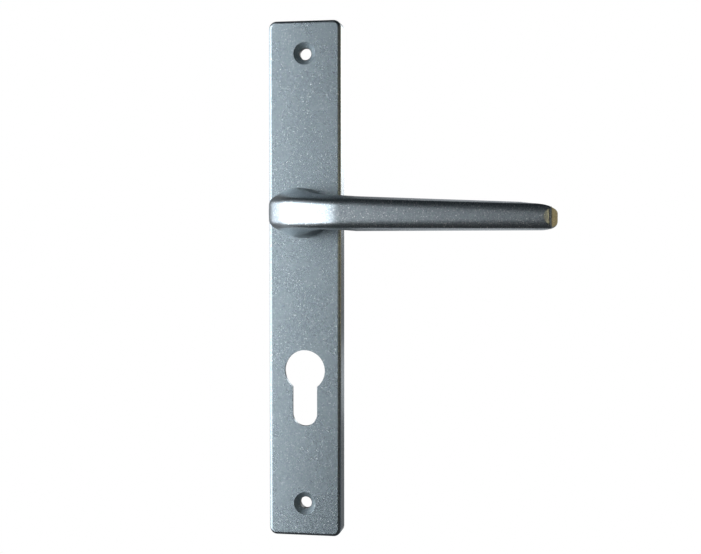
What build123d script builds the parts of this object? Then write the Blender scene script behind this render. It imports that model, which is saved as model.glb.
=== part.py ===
from build123d import *
import os
from math import asin, cos, degrees, radians, sin, sqrt

# Sprung lever handle on a long back plate, for a multipoint lock.
# Millimetres. +Z is up, the lever points to +X, the front looks to -Y.
# The origin lies on the spindle axis, in the plate's back plane, which meets the door at Y = 0.
# Plane.XZ has its normal along -Y, so an amount or an offset on it is a distance from the door.

os.makedirs("parts", exist_ok=True)

# Back plate
plate_height = 229.0
plate_width = 32.5
plate_depth = 9.0
plate_corner_radius = 3.4
plate_edge_radius = 1.4
front_wall = 2.2
side_wall = 2.0
spindle_below_top = 85.0
rib_thickness = 1.5
rib_relief = 1.0

# Fixing screws, one near each end of the plate
screw_end_margin = 14.5
screw_hole_diameter = 5.3
countersink_diameter = 10.0
screw_seat_thickness = 5.0
screw_boss_diameter = 13.0
screw_core_diameter = 7.4

# Cut-out for the lock cylinder
cylinder_below_spindle = 70.0
cylinder_round_diameter = 18.2
cylinder_slot_width = 11.2
cylinder_cut_height = 33.9

# Lever
neck_diameter = 22.0
neck_running_gap = 0.3
grip_projection = 50.0
grip_depth_at_bend = 12.0
grip_depth_at_tip = 11.0
lever_reach = 111.3
outer_bend_length = 36.0
outer_bend_height = 32.0
inner_bend_radius = 20.0
neck_round_height = 6.0
neck_top_half = 10.4
panel_half_at_neck = 4.03
panel_half_at_bend = 2.83
panel_half_at_tip = 1.73
flank_half_at_bend = 7.05
flank_half_at_tip = 5.35
grip_drop_at_bend = 1.1
grip_drop_at_tip = 2.55
panel_crown = 0.09
panel_edge_radius = 3.9
panel_edge_start_turn = 4.5
panel_edge_end_turn = 58.5
flank_bulge = 0.15
tip_flare = 2.0
upper_corner_length = 14.0
upper_corner_height = 4.4
lower_corner_length = 7.5
lower_corner_height = 3.7
tip_corner_overrun = 0.1
tip_back_radius = 4.5
tip_margin = 8.0
tip_overrun = 0.5

# Spigot of the lever, which turns in the plate
spigot_diameter = 16.0
spigot_flats = 13.0
spigot_end_inset = 0.4
spindle_size = 8.0
spindle_clearance = 0.1
spindle_socket_depth = 24.6

# Bush, washer, driver and circlip on the spigot
bush_wall = 1.2
bush_flange_diameter = 20.4
bush_flange_thickness = 1.2
running_clearance = 0.05
seat_clearance = 0.02
plate_boss_wall = 1.3
plate_boss_length = 1.2
washer_thickness = 0.5
washer_inner_clearance = 0.1
driver_hub_length = 3.0
driver_hub_diameter = 20.6
driver_flange_thickness = 0.9
lug_width = 5.0
lug_inner_radius = 13.2
lug_outer_radius = 15.6
circlip_thickness = 0.8
circlip_ring_width = 1.9
circlip_groove_depth = 0.7
circlip_mouth = 7.0
circlip_eye_diameter = 1.2
axial_gap = 0.1

# Return spring
wire_diameter = 1.1
coil_mean_radius = 11.95
coil_pitch = 1.2
coil_turns_over = 1
coil_arcs = 4
leg_clearance = 0.1
leg_bend_radius = 1.0

# Cover of the spring pocket
cover_side_gap = 0.75
cover_height = 48.0
cover_thickness = 0.8
cover_hole_diameter = 21.6
cover_front = 1.7
cover_corner_radius = 2.5
cover_screw_inset = 3.1
cover_screw_z = 20.0
cover_screw_diameter = 2.5
cover_screw_head_diameter = 4.2
cover_screw_head_height = 0.65
cover_screw_length = 3.4
cover_post_diameter = 5.4

# Places along the height
plate_centre = spindle_below_top - plate_height / 2
plate_top = spindle_below_top
plate_bottom = spindle_below_top - plate_height
screw_heights = (plate_top - screw_end_margin, plate_bottom + screw_end_margin)
cylinder_centre = -cylinder_below_spindle
slot_radius = cylinder_slot_width / 2
slot_bottom_centre = cylinder_centre + cylinder_round_diameter / 2 - cylinder_cut_height + slot_radius

# Distances from the door, from the front to the back
pocket_depth = plate_depth - front_wall
neck_base = plate_depth + neck_running_gap
boss_rear = pocket_depth - plate_boss_length
washer_front = boss_rear - seat_clearance
washer_rear = washer_front - washer_thickness
driver_front = washer_rear - axial_gap
driver_rear = driver_front - driver_hub_length
flange_front = driver_rear + driver_flange_thickness
circlip_front = driver_rear - axial_gap
circlip_rear = circlip_front - circlip_thickness
cover_rear = cover_front - cover_thickness

# Widths that follow the plate
cover_width = plate_width - 2 * (side_wall + cover_side_gap)
cover_screw_x = cover_width / 2 - cover_screw_inset

# Radii about the spindle axis
neck_radius = neck_diameter / 2
spigot_radius = spigot_diameter / 2
bush_inner_radius = spigot_radius + running_clearance
bush_outer_radius = bush_inner_radius + bush_wall
plate_bore_radius = bush_outer_radius + seat_clearance
plate_boss_radius = plate_bore_radius + plate_boss_wall
groove_radius = spigot_radius - circlip_groove_depth

# Return spring: each leg lies beside the lug and the fixed post, the coil ends above them
wire_radius = wire_diameter / 2
leg_offset = lug_width / 2 + leg_clearance + wire_radius
leg_radius = (lug_inner_radius + lug_outer_radius) / 2
coil_end_x = (leg_offset + leg_bend_radius) / (1 + leg_bend_radius / coil_mean_radius)
leg_angle = asin(coil_end_x / coil_mean_radius)
coil_turns = coil_turns_over + 1 - 2 * degrees(leg_angle) / 360
coil_rear = flange_front + axial_gap + wire_radius
coil_front = coil_rear + coil_pitch * coil_turns


def smooth_step(value, start, end):
    """0 before start, 1 after end, and a soft S between them."""
    share = min(max((value - start) / (end - start), 0.0), 1.0)
    return share * share * (3 - 2 * share)


def mix(first, second, share):
    """The value a share of the way from the first to the second."""
    return first + (second - first) * share


def edge_arc(turn):
    """Across and inward on the panel's rolled edge, from its start to where it has turned so far."""
    start = radians(panel_edge_start_turn)
    end = radians(turn)
    return panel_edge_radius * (sin(end) - sin(start)), panel_edge_radius * (cos(start) - cos(end))


edge_width, edge_depth = edge_arc(panel_edge_end_turn)
edge_middle = edge_arc((panel_edge_start_turn + panel_edge_end_turn) / 2)


def section_plane(origin_x, height, outward):
    """Section across the lever: x runs up, y runs outward to the panel, origin on the panel."""
    origin = (origin_x, -plate_depth - height, 0)
    up = Vector(0, 0, 1)
    return Plane(origin=origin, x_dir=up, z_dir=up.cross(outward))


def round_half(depth, flank_half):
    """Upper half of a round section, from the panel's end to the widest point."""
    panel_angle = asin(panel_half_at_neck / neck_radius)
    edge_angle = asin((panel_half_at_neck + edge_width) / neck_radius)
    widest_angle = radians(90)
    angles = (
        panel_angle,
        (panel_angle + edge_angle) / 2,
        edge_angle,
        (edge_angle + widest_angle) / 2,
        widest_angle,
    )
    return [(flank_half * sin(turn), (cos(turn) - 1) * depth / 2) for turn in angles]


def bar_half(panel_half, flank_half, depth):
    """Upper half of the grip's section: panel's end, edge, flared flank, widest point."""
    edge_end = (panel_half + edge_width, -panel_crown - edge_depth)
    return [
        (panel_half, -panel_crown),
        (panel_half + edge_middle[0], -panel_crown - edge_middle[1]),
        edge_end,
        ((edge_end[0] + flank_half) / 2 + flank_bulge, (edge_end[1] - depth / 2) / 2),
        (flank_half, -depth / 2),
    ]


def draw_section(plane, half, depth, panel_drop, flank_drop):
    """Closed outline of arcs: crowned panel, two edges, two flanks and a round back."""
    drops = (panel_drop, panel_drop, panel_drop, (panel_drop + flank_drop) / 2, flank_drop)
    high = [(across - drop, inward) for (across, inward), drop in zip(half, drops)]
    low = [(-across - drop, inward) for (across, inward), drop in zip(half, drops)]
    with BuildSketch(plane) as sketch:
        with BuildLine():
            ThreePointArc(low[0], (-panel_drop, 0), high[0])
            ThreePointArc(high[0], high[1], high[2])
            ThreePointArc(high[2], high[3], high[4])
            ThreePointArc(high[4], (-flank_drop, -depth), low[4])
            ThreePointArc(low[4], low[3], low[2])
            ThreePointArc(low[2], low[1], low[0])
        make_face()
    return sketch.sketch.face()


# The lever's front is a quarter ellipse about one axis, its back a quarter circle about another.
# The sections of the bend fan out from the inner axis.
outer_axis_x = outer_bend_length - neck_radius
outer_axis_height = grip_projection - outer_bend_height
inner_axis_x = neck_radius + inner_bend_radius
inner_axis_height = grip_projection - grip_depth_at_bend - inner_bend_radius
neck_angle_span = 20
neck_height_per_degree = (outer_axis_height - neck_round_height) / neck_angle_span


def reach_to_front(angle):
    """Distance from the inner axis to the lever's front, along a ray at that angle."""
    across = cos(radians(angle))
    along = sin(radians(angle))
    flat_reach = (grip_projection - inner_axis_height) / max(along, 0.01)
    if inner_axis_x - flat_reach * across > outer_axis_x:
        return flat_reach
    # On the ellipse, square * reach**2 + 2 * double * reach + rest is 0
    gap_x = inner_axis_x - outer_axis_x
    gap_height = inner_axis_height - outer_axis_height
    square = (across / outer_bend_length) ** 2 + (along / outer_bend_height) ** 2
    double = gap_height * along / outer_bend_height**2 - gap_x * across / outer_bend_length**2
    rest = (gap_x / outer_bend_length) ** 2 + (gap_height / outer_bend_height) ** 2 - 1
    return (sqrt(double**2 - square * rest) - double) / square


def bend_section(angle):
    """Section at an angle of the bend: below 0 on the neck, 0 at its top, 90 on the grip."""
    if angle < 0:
        height = outer_axis_height + angle * neck_height_per_degree
        plane = section_plane(-neck_radius, height, Vector(-1, 0, 0))
        depth = neck_diameter
    else:
        outward = Vector(-cos(radians(angle)), -sin(radians(angle)), 0)
        reach = reach_to_front(angle)
        front_x = inner_axis_x + reach * outward.X
        plane = section_plane(front_x, inner_axis_height - reach * outward.Y, outward)
        depth = reach - inner_bend_radius
    neck_half = mix(neck_radius, neck_top_half, smooth_step(angle, -neck_angle_span, 10))
    flank_half = mix(neck_half, flank_half_at_bend, smooth_step(angle, 0, 90))
    narrowing = smooth_step(angle, 20, 85)
    panel_half = mix(panel_half_at_neck, panel_half_at_bend, narrowing)
    edging = smooth_step(angle, -1.3 * neck_angle_span, 12)
    flattening = smooth_step(angle, -1.3 * neck_angle_span, 40)
    shares = (edging, edging, edging, flattening, 1)
    round_points = round_half(depth, neck_half)
    bar_points = bar_half(panel_half, flank_half, depth)
    half = [
        (mix(first[0], second[0], share), mix(first[1], second[1], share))
        for first, second, share in zip(round_points, bar_points, shares)
    ]
    panel_drop = grip_drop_at_bend * smooth_step(angle, 0, 75)
    flank_drop = grip_drop_at_bend * (max(angle, 0) / 90) ** 3
    return draw_section(plane, half, depth, panel_drop, flank_drop)


def grip_section(x):
    """Section of the straight grip, square to the lever, at a distance from the spindle axis."""
    share = (x - inner_axis_x) / (lever_reach - inner_axis_x)
    plane = section_plane(x, grip_projection, Vector(0, -1, 0))
    depth = mix(grip_depth_at_bend, grip_depth_at_tip, share)
    panel_half = mix(panel_half_at_bend, panel_half_at_tip, share)
    flank_half = mix(flank_half_at_bend, flank_half_at_tip, share)
    drop = mix(grip_drop_at_bend, grip_drop_at_tip, share)
    return draw_section(plane, bar_half(panel_half, flank_half, depth), depth, drop, drop)


# Back plate: a shallow cast shell, open at the back, with bosses, ribs and posts inside
with BuildPart() as back_plate:
    with BuildSketch(Plane.XZ):
        with Locations((0, plate_centre)):
            RectangleRounded(plate_width, plate_height, plate_corner_radius)
    extrude(amount=plate_depth)
    front_edges = back_plate.faces().sort_by(Axis.Y)[0].edges()
    fillet(front_edges, radius=plate_edge_radius)
    with BuildSketch(Plane.XZ):
        with Locations((0, plate_centre)):
            RectangleRounded(
                plate_width - 2 * side_wall,
                plate_height - 2 * side_wall,
                plate_corner_radius - side_wall,
            )
    extrude(amount=pocket_depth, mode=Mode.SUBTRACT)

    # Bosses for the fixing screws, each tied to the side walls by a rib
    with BuildSketch(Plane.XZ):
        with Locations(*[(0, height) for height in screw_heights]):
            Circle(screw_boss_diameter / 2)
    extrude(amount=pocket_depth)
    with BuildSketch(Plane.XZ.offset(rib_relief)):
        with Locations(*[(0, height) for height in screw_heights]):
            Rectangle(plate_width - side_wall, rib_thickness)
    extrude(amount=pocket_depth - rib_relief)

    # Cross ribs of the long hollow, evenly spaced between the bosses and the pockets
    upper_ribs = (cover_height / 2 + 6, screw_heights[0] - screw_boss_diameter)
    middle_ribs = (-cover_height / 2 - 6, cylinder_centre + cylinder_round_diameter / 2 + 6)
    lower_ribs = (slot_bottom_centre - slot_radius - 6, screw_heights[1] + screw_boss_diameter)
    with BuildSketch(Plane.XZ.offset(rib_relief)):
        with Locations(*[(0, height) for height in upper_ribs + middle_ribs + lower_ribs]):
            Rectangle(plate_width - side_wall, rib_thickness)
    extrude(amount=pocket_depth - rib_relief)

    # Boss that carries the bush and the spring
    with BuildSketch(Plane.XZ.offset(boss_rear)):
        Circle(plate_boss_radius)
    extrude(amount=plate_boss_length)

    # Fixed post between the spring's legs
    post_length = (pocket_depth - flange_front) / 2 - axial_gap
    with BuildSketch(Plane.XZ.offset(pocket_depth - post_length)):
        with Locations((0, -leg_radius)):
            Rectangle(lug_width, lug_outer_radius - lug_inner_radius)
    extrude(amount=post_length)

    # Posts for the cover screws, with their blind holes
    with BuildSketch(Plane.XZ.offset(cover_front)):
        with GridLocations(2 * cover_screw_x, 2 * cover_screw_z, 2, 2):
            Circle(cover_post_diameter / 2)
    extrude(amount=pocket_depth - cover_front)
    with BuildSketch(Plane.XZ.offset(cover_front)):
        with GridLocations(2 * cover_screw_x, 2 * cover_screw_z, 2, 2):
            Circle(cover_screw_diameter / 2 + seat_clearance)
    extrude(amount=cover_screw_length + axial_gap, mode=Mode.SUBTRACT)

    # Bore for the bush, with a shallow recess for its flange
    with BuildSketch(Plane.XZ):
        Circle(plate_bore_radius)
    extrude(amount=plate_depth, mode=Mode.SUBTRACT)
    recess_depth = bush_flange_thickness - neck_running_gap + axial_gap
    with BuildSketch(Plane.XZ.offset(plate_depth - recess_depth)):
        Circle(bush_flange_diameter / 2 + seat_clearance)
    extrude(amount=recess_depth, mode=Mode.SUBTRACT)

    # Cut-out for the lock cylinder: a round hole over a round-ended slot
    with BuildSketch(Plane.XZ):
        with Locations((0, cylinder_centre)):
            Circle(cylinder_round_diameter / 2)
        with Locations((0, (cylinder_centre + slot_bottom_centre) / 2)):
            Rectangle(cylinder_slot_width, cylinder_centre - slot_bottom_centre)
        with Locations((0, slot_bottom_centre)):
            Circle(slot_radius)
    extrude(amount=plate_depth, mode=Mode.SUBTRACT)

    # Countersunk screw holes, wider behind their seat
    front_plane = Plane.XZ.offset(plate_depth)
    with Locations(front_plane):
        with Locations(*[(0, height) for height in screw_heights]):
            CounterSinkHole(screw_hole_diameter / 2, countersink_diameter / 2, counter_sink_angle=90)
    with BuildSketch(Plane.XZ):
        with Locations(*[(0, height) for height in screw_heights]):
            Circle(screw_core_diameter / 2)
    extrude(amount=plate_depth - screw_seat_thickness, mode=Mode.SUBTRACT)


# Lever: round neck, large bend, tapering grip, and the spigot with its square socket
with BuildPart() as lever:
    bend_angles = (-20, -12, -4, 5, 15, 25, 35, 45, 55, 65, 74, 82, 90)
    sections = [bend_section(angle) for angle in bend_angles]
    loft(sections)
    extrude(sections[0], amount=neck_round_height - neck_running_gap, dir=(0, 1, 0))
    loft([grip_section(x) for x in (inner_axis_x, lever_reach + tip_margin)], ruled=True)

    # The end of the grip is trimmed as seen from above, then as seen from the front
    front_y = -plate_depth - grip_projection
    back_y = front_y + grip_depth_at_tip
    roll_x = lever_reach - tip_flare - edge_width
    with BuildSketch(Plane.XY.offset(-grip_projection)):
        with BuildLine():
            roll = ThreePointArc(
                (roll_x, front_y),
                (roll_x + edge_middle[0], front_y + edge_middle[1]),
                (roll_x + edge_width, front_y + edge_depth),
            )
            slope = Line(roll @ 1, (lever_reach, front_y + grip_depth_at_tip / 2))
            side = Line(slope @ 1, (lever_reach, back_y - tip_back_radius))
            back_end = (lever_reach - 1.3 * tip_back_radius, back_y + tip_overrun)
            back = ThreePointArc(
                side @ 1,
                (lever_reach - 0.25 * tip_back_radius, back_y - 0.3 * tip_back_radius),
                back_end,
            )
            Polyline(
                back @ 1,
                (back_end[0], back_y + tip_margin),
                (lever_reach + tip_margin, back_y + tip_margin),
                (lever_reach + tip_margin, front_y - tip_margin),
                (roll_x, front_y - tip_margin),
                roll @ 0,
            )
        make_face()
    extrude(amount=2 * grip_projection, mode=Mode.SUBTRACT)
    tip_corners = (
        (1, upper_corner_length, upper_corner_height),
        (-1, lower_corner_length, lower_corner_height),
    )
    for end, length, height in tip_corners:
        edge_z = -grip_drop_at_tip + end * (flank_half_at_tip + tip_corner_overrun)
        with BuildSketch(Plane.XZ.offset(-back_y - tip_margin)):
            with BuildLine():
                corner = Bezier(
                    (lever_reach, edge_z - end * height),
                    (lever_reach, edge_z),
                    (lever_reach - length, edge_z),
                )
                Polyline(
                    corner @ 1,
                    (lever_reach - length, edge_z + end * tip_margin),
                    (lever_reach + tip_margin, edge_z + end * tip_margin),
                    (lever_reach + tip_margin, edge_z - end * height),
                    corner @ 0,
                )
            make_face()
        extrude(amount=grip_depth_at_tip + 2 * tip_margin, mode=Mode.SUBTRACT)

    # Spigot, with two flats for the driver and a groove for the circlip
    with BuildSketch(Plane.XZ.offset(spigot_end_inset)):
        Circle(spigot_radius)
    extrude(amount=neck_base - spigot_end_inset)
    with BuildSketch(Plane.XZ.offset(spigot_end_inset)):
        Circle(spigot_radius)
        Rectangle(spigot_diameter, spigot_flats, mode=Mode.SUBTRACT)
    extrude(amount=driver_front + seat_clearance - spigot_end_inset, mode=Mode.SUBTRACT)
    with BuildSketch(Plane.XZ.offset(circlip_rear - seat_clearance)):
        Circle(spigot_radius + 1)
        Circle(groove_radius, mode=Mode.SUBTRACT)
    extrude(amount=circlip_thickness + 2 * seat_clearance, mode=Mode.SUBTRACT)

    # Square socket for the spindle
    socket_size = spindle_size + spindle_clearance
    with BuildSketch(Plane.XZ.offset(spigot_end_inset)):
        Rectangle(socket_size, socket_size)
    extrude(amount=spindle_socket_depth, mode=Mode.SUBTRACT)


# Bush: a sleeve with a thin front flange, which keeps the neck off the plate
with BuildPart() as neck_bush:
    with BuildSketch(Plane.XZ.offset(boss_rear)):
        Circle(bush_outer_radius)
    extrude(amount=plate_depth - recess_depth - boss_rear)
    with BuildSketch(Plane.XZ.offset(plate_depth - recess_depth)):
        Circle(bush_flange_diameter / 2)
    extrude(amount=bush_flange_thickness)
    with BuildSketch(Plane.XZ):
        Circle(bush_inner_radius)
    extrude(amount=2 * plate_depth, mode=Mode.SUBTRACT)


# Washer between the plate's boss and the driver
with BuildPart() as thrust_washer:
    with BuildSketch(Plane.XZ.offset(washer_rear)):
        Circle(driver_hub_diameter / 2)
        Circle(spigot_radius + washer_inner_clearance, mode=Mode.SUBTRACT)
    extrude(amount=washer_thickness)


# Driver: a hub on the spigot's flats, with an arm behind the coil and a lug between the legs
with BuildPart() as spring_driver:
    with BuildSketch(Plane.XZ.offset(driver_rear)):
        Circle(driver_hub_diameter / 2)
    extrude(amount=driver_hub_length)
    with BuildSketch(Plane.XZ.offset(driver_rear)):
        with Locations((0, -lug_outer_radius / 2)):
            Rectangle(lug_width, lug_outer_radius)
    extrude(amount=driver_flange_thickness)
    with BuildSketch(Plane.XZ.offset(driver_rear)):
        with Locations((0, -leg_radius)):
            Rectangle(lug_width, lug_outer_radius - lug_inner_radius)
    extrude(amount=driver_flange_thickness + post_length)
    with BuildSketch(Plane.XZ):
        Circle(spigot_radius + running_clearance)
        Rectangle(plate_width, spigot_flats + 2 * running_clearance, mode=Mode.INTERSECT)
    extrude(amount=plate_depth, mode=Mode.SUBTRACT)


def leg_edges(root, side, near, far):
    """Leg of the spring: it turns outward from the coil, runs out, and turns along the spindle."""
    run_x = side * leg_offset
    bend_z = root.Z - leg_bend_radius * cos(leg_angle)
    half_turn = (radians(90) - leg_angle) / 2
    bend_middle = (
        side * (leg_offset + leg_bend_radius * (1 - cos(half_turn))),
        near,
        bend_z + leg_bend_radius * sin(half_turn),
    )
    step = leg_bend_radius if far > near else -leg_bend_radius
    short = 1 - sqrt(0.5)
    corner_middle = (run_x, near + step * short, leg_bend_radius * short - leg_radius)
    with BuildLine() as leg:
        ThreePointArc(root, bend_middle, (run_x, near, bend_z))
        Line((run_x, near, bend_z), (run_x, near, leg_bend_radius - leg_radius))
        ThreePointArc(
            (run_x, near, leg_bend_radius - leg_radius),
            corner_middle,
            (run_x, near + step, -leg_radius),
        )
        Line((run_x, near + step, -leg_radius), (run_x, far, -leg_radius))
    return leg.edges()


def coil_point(share):
    """Point of the coil's centreline, a share of the way from its rear end to its front end."""
    turn = leg_angle + share * radians(360) * coil_turns
    y = -coil_rear - share * coil_pitch * coil_turns
    return Vector(coil_mean_radius * sin(turn), y, -coil_mean_radius * cos(turn))


# Return spring: a close coil round the boss, and two legs, all one wire
with BuildLine() as coil:
    for part in range(coil_arcs):
        start, middle, end = (part / coil_arcs, (part + 0.5) / coil_arcs, (part + 1) / coil_arcs)
        ThreePointArc(coil_point(start), coil_point(middle), coil_point(end))
right_leg = leg_edges(coil_point(0), 1, -coil_rear, -coil_front)
left_leg = leg_edges(coil_point(1), -1, -coil_front, -coil_rear)
spring_path = Wire.combine([*right_leg, *coil.edges(), *left_leg])[0]
with BuildPart() as return_spring:
    with BuildSketch(Plane(origin=spring_path @ 0, z_dir=spring_path % 0)):
        Circle(wire_radius)
    sweep(path=spring_path)


# Circlip: an open ring with an eye at each end
with BuildPart() as circlip:
    with BuildSketch(Plane.XZ.offset(circlip_rear)):
        Circle(groove_radius + seat_clearance + circlip_ring_width)
        eye_ring = groove_radius + seat_clearance + circlip_ring_width / 2
        eye_x = circlip_mouth / 2 + circlip_ring_width / 2
        eye_z = sqrt(eye_ring**2 - eye_x**2)
        with Locations((-eye_x, eye_z), (eye_x, eye_z)):
            Circle(circlip_ring_width * 0.7)
        Circle(groove_radius + seat_clearance, mode=Mode.SUBTRACT)
        with Locations((0, eye_ring)):
            Rectangle(circlip_mouth - circlip_ring_width * 0.2, 3 * circlip_ring_width, mode=Mode.SUBTRACT)
        with Locations((-eye_x, eye_z), (eye_x, eye_z)):
            Circle(circlip_eye_diameter / 2, mode=Mode.SUBTRACT)
    extrude(amount=circlip_thickness)


# Cover: pressed plate over the spring pocket
with BuildPart() as spring_cover:
    with BuildSketch(Plane.XZ.offset(cover_rear)):
        RectangleRounded(cover_width, cover_height, cover_corner_radius)
        Circle(cover_hole_diameter / 2, mode=Mode.SUBTRACT)
        with GridLocations(2 * cover_screw_x, 2 * cover_screw_z, 2, 2):
            Circle(cover_screw_diameter / 2 + axial_gap, mode=Mode.SUBTRACT)
    extrude(amount=cover_thickness)


def build_cover_screw(x, z):
    """Small pan-head screw: a low head behind the cover and a shank in the post."""
    with BuildPart() as screw:
        with BuildSketch(Plane.XZ.offset(cover_rear - cover_screw_head_height)):
            with Locations((x, z)):
                Circle(cover_screw_head_diameter / 2)
        extrude(amount=cover_screw_head_height)
        head_rim = screw.faces().sort_by(Axis.Y)[-1].edges()
        chamfer(head_rim, length=cover_screw_head_height * 0.4)
        with BuildSketch(Plane.XZ.offset(cover_rear)):
            with Locations((x, z)):
                Circle(cover_screw_diameter / 2)
        extrude(amount=cover_thickness + cover_screw_length)
        with BuildSketch(Plane.XZ.offset(cover_rear - cover_screw_head_height)):
            with Locations((x, z)):
                Rectangle(cover_screw_head_diameter * 0.5, 0.5)
                Rectangle(0.5, cover_screw_head_diameter * 0.5)
        extrude(amount=cover_screw_head_height * 0.6, mode=Mode.SUBTRACT)
    return screw


finished = {
    "back_plate": back_plate,
    "lever": lever,
    "neck_bush": neck_bush,
    "thrust_washer": thrust_washer,
    "spring_driver": spring_driver,
    "return_spring": return_spring,
    "circlip": circlip,
    "spring_cover": spring_cover,
}
screw_places = [(x, z) for z in (cover_screw_z, -cover_screw_z) for x in (-cover_screw_x, cover_screw_x)]
for number, (x, z) in enumerate(screw_places, start=1):
    finished[f"cover_screw_{number}"] = build_cover_screw(x, z)

for name, piece in finished.items():
    piece.part.label = name
    export_step(piece.part, f"parts/{name}.step")
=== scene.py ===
# %% [markdown]
# # A sprung lever handle on a long back plate
#
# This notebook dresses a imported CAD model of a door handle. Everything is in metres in
# Blender; helpers below take millimetres, as a maker would.

# %% Load the frame
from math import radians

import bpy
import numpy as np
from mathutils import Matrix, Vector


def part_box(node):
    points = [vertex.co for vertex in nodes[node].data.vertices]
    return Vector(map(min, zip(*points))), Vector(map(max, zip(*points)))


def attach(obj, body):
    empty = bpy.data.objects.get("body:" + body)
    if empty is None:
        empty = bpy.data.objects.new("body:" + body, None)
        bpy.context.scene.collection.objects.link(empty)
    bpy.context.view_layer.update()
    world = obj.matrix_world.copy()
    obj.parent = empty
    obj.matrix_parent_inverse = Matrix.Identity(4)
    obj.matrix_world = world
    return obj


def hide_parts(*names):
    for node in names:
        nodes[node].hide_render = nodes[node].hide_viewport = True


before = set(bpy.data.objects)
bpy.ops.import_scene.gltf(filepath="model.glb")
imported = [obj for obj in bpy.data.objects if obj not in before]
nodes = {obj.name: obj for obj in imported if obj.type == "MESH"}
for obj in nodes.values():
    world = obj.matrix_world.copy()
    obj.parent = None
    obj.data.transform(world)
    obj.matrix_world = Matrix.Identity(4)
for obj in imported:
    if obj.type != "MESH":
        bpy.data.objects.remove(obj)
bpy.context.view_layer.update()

# %% [markdown]
# ## Tools for the work
#
# Blender's own module builds meshes and shaders. The surfaces are worked out in numpy, a
# whole grid of points at a time.

# %% [markdown]
# ## Sizes read from the frame
#
# The new skin of the lever has to sit exactly where its CAD solid sits. So the big sizes,
# the plate's depth and the lever's reach and neck, are measured on the CAD nodes. How far the
# grip stands out from the plate is the maker's round number, and the rest of the notebook
# only describes the shape between these.

# %% Measure the frame
MM = 0.001
GRIP_PROJECTION = 50.0
NECK_GAP = 0.3


def corners_mm(node):
    """Lowest and highest corner of a CAD node, in millimetres."""
    low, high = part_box(node)
    return np.array(low) / MM, np.array(high) / MM


plate_low, plate_high = corners_mm("back_plate")
plate_middle = (plate_low + plate_high) / 2
lever_low, lever_high = corners_mm("lever")
plate_depth = -plate_low[1]
neck_base = plate_depth + NECK_GAP
lever_reach = lever_high[0]
neck_radius = -lever_low[2]
print(f"plate {plate_depth:.2f} deep, grip {GRIP_PROJECTION:.2f} proud, reach {lever_reach:.2f}")

# %% [markdown]
# ## The camera
#
# The photograph was taken from a little to the right of the spindle and almost level with
# it, about half a metre from the plate. A camera at that place, with a lens a little longer
# than normal, gives the same perspective: the grip, which stands 50 mm closer, looks larger.

# %% Camera
CAMERA_PLACE_MM = (117.34, -551.49, -10.40)
CAMERA_TURN_DEG = 10.10
CAMERA_DIP_DEG = 1.85
LENS_MM = 64.18

camera = bpy.data.objects.new("camera", bpy.data.cameras.new("camera"))
camera.data.lens = LENS_MM
camera.data.clip_start = 0.01
camera.location = [value * MM for value in CAMERA_PLACE_MM]
camera.rotation_euler = (radians(90 - CAMERA_DIP_DEG), 0, radians(CAMERA_TURN_DEG))
bpy.context.scene.collection.objects.link(camera)
bpy.context.scene.camera = camera
print("camera at", tuple(round(value, 4) for value in camera.location))

# %% [markdown]
# ## Curves that the lever is made of
#
# The lever is a casting. Seen from the front it is a narrow panel with a soft crown, rolled
# over at both edges into flanks that flare a little, and a round back. Near the plate that
# bar section melts into a round neck. Each section is drawn from six arcs, so the same few
# numbers give the whole lever, and numpy can work out every section at once.

# %% Small curve helpers
def smooth_step(value, start, end):
    """0 before start, 1 after end, and 3s^2 - 2s^3 between them."""
    share = np.clip((value - start) / (end - start), 0, 1)
    return share * share * (3 - 2 * share)


def mix(first, second, share):
    """first + (second - first) * share."""
    return first + (second - first) * share


def arc_through(first, middle, last, shares):
    """Points on the circle through three points, at shares of the way from first to last.

    The centre is where the perpendicular bisectors meet. Each input is (rows, 2), and the
    answer is (rows, shares, 2), so one call draws the same arc in every section."""
    ax, ay, bx, by, cx, cy = (*first.T, *middle.T, *last.T)
    twice = 2 * (ax * (by - cy) + bx * (cy - ay) + cx * (ay - by))
    a2, b2, c2 = ax**2 + ay**2, bx**2 + by**2, cx**2 + cy**2
    centre_x = (a2 * (by - cy) + b2 * (cy - ay) + c2 * (ay - by)) / twice
    centre_y = (a2 * (cx - bx) + b2 * (ax - cx) + c2 * (bx - ax)) / twice
    radius = np.hypot(ax - centre_x, ay - centre_y)
    start, half, end = (
        np.arctan2(y - centre_y, x - centre_x) for x, y in ((ax, ay), (bx, by), (cx, cy))
    )
    turn = np.angle(np.exp(1j * (half - start))) + np.angle(np.exp(1j * (end - half)))
    angle = start[:, None] + turn[:, None] * shares[None, :]
    return np.stack(
        [
            centre_x[:, None] + radius[:, None] * np.cos(angle),
            centre_y[:, None] + radius[:, None] * np.sin(angle),
        ],
        axis=-1,
    )


# %% [markdown]
# ## The section of the bar
#
# A section lies in a plane across the lever: its first number runs across, upwards, and its
# second runs outward, so the panel is at 0 and the back at minus the depth. Two outlines are
# drawn with the same points in the same order, a round one and a bar, and a share mixes them.

# %% Section outlines
PANEL_CROWN = 0.09
EDGE_RADIUS = 3.9
EDGE_START_DEG = 4.5
EDGE_END_DEG = 58.5
FLANK_BULGE = 0.15
PANEL_HALF_NECK = 3.28
ARC_POINTS = {"panel": 24, "edge": 20, "flank": 14, "back": 40}


def edge_arc(turn_deg):
    """Across and inward on the rolled edge, from its start to where it has turned so far.

    On a circle of radius r they are r (sin end - sin start) and r (cos start - cos end)."""
    start, end = np.radians(EDGE_START_DEG), np.radians(turn_deg)
    across = EDGE_RADIUS * (np.sin(end) - np.sin(start))
    inward = EDGE_RADIUS * (np.cos(start) - np.cos(end))
    return across, inward


edge_width, edge_depth = edge_arc(EDGE_END_DEG)
edge_middle = edge_arc((EDGE_START_DEG + EDGE_END_DEG) / 2)


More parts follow.
